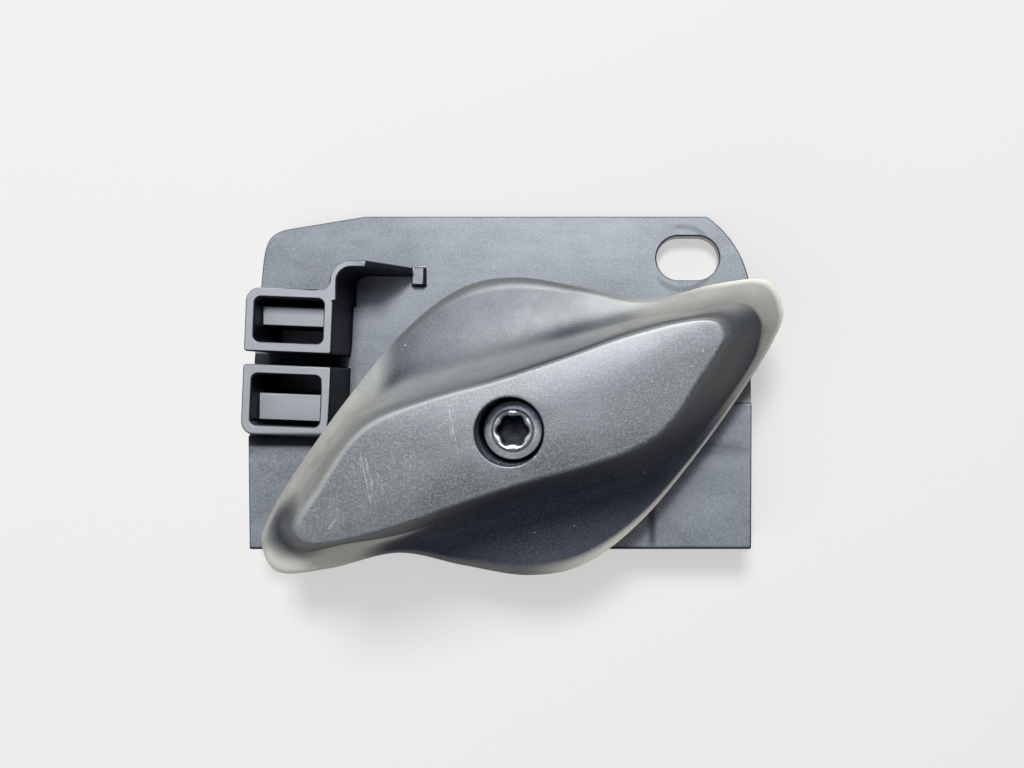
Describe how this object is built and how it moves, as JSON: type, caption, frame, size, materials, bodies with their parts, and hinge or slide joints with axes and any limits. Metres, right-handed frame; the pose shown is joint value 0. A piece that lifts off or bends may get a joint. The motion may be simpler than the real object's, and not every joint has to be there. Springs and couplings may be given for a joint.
{
  "type": "hood release handle",
  "caption": "Turning hood release handle: a ridged grip screwed to a lever shaft that turns in a flat moulded bracket with a fixing slot and clip sockets.",
  "frame": {"origin": "centre of the fixing slot on the rear seating plane", "axes": "+Z out of the front towards the driver, +X to the right and +Y up as seen from the front"},
  "size_m": [0.0905, 0.0602, 0.0317],
  "materials": {
    "bracket_plastic": "black glass-filled nylon, satin",
    "handle_plastic": "charcoal plastic with a fine grain",
    "lever_casting": "die cast, dull",
    "screw_steel": "dark plated",
    "spring_steel": "spring wire"
  },
  "bodies": {
    "bracket": {"bracket": "bracket_plastic", "return_spring": "spring_steel"},
    "grip": {"handle": "handle_plastic", "cable_lever": "lever_casting", "handle_screw": "screw_steel"}
  },
  "joints": [
    {"name": "handle_turn", "type": "hinge", "parent": "bracket", "child": "grip", "pos_m": [-0.0276, -0.0289, 0.009], "axis": [0, 0, 1], "range_deg": [-45, 0], "stiffness_Nm_per_rad": 0.08, "springref_deg": 11.46, "deforming": ["return_spring"]}
  ]
}
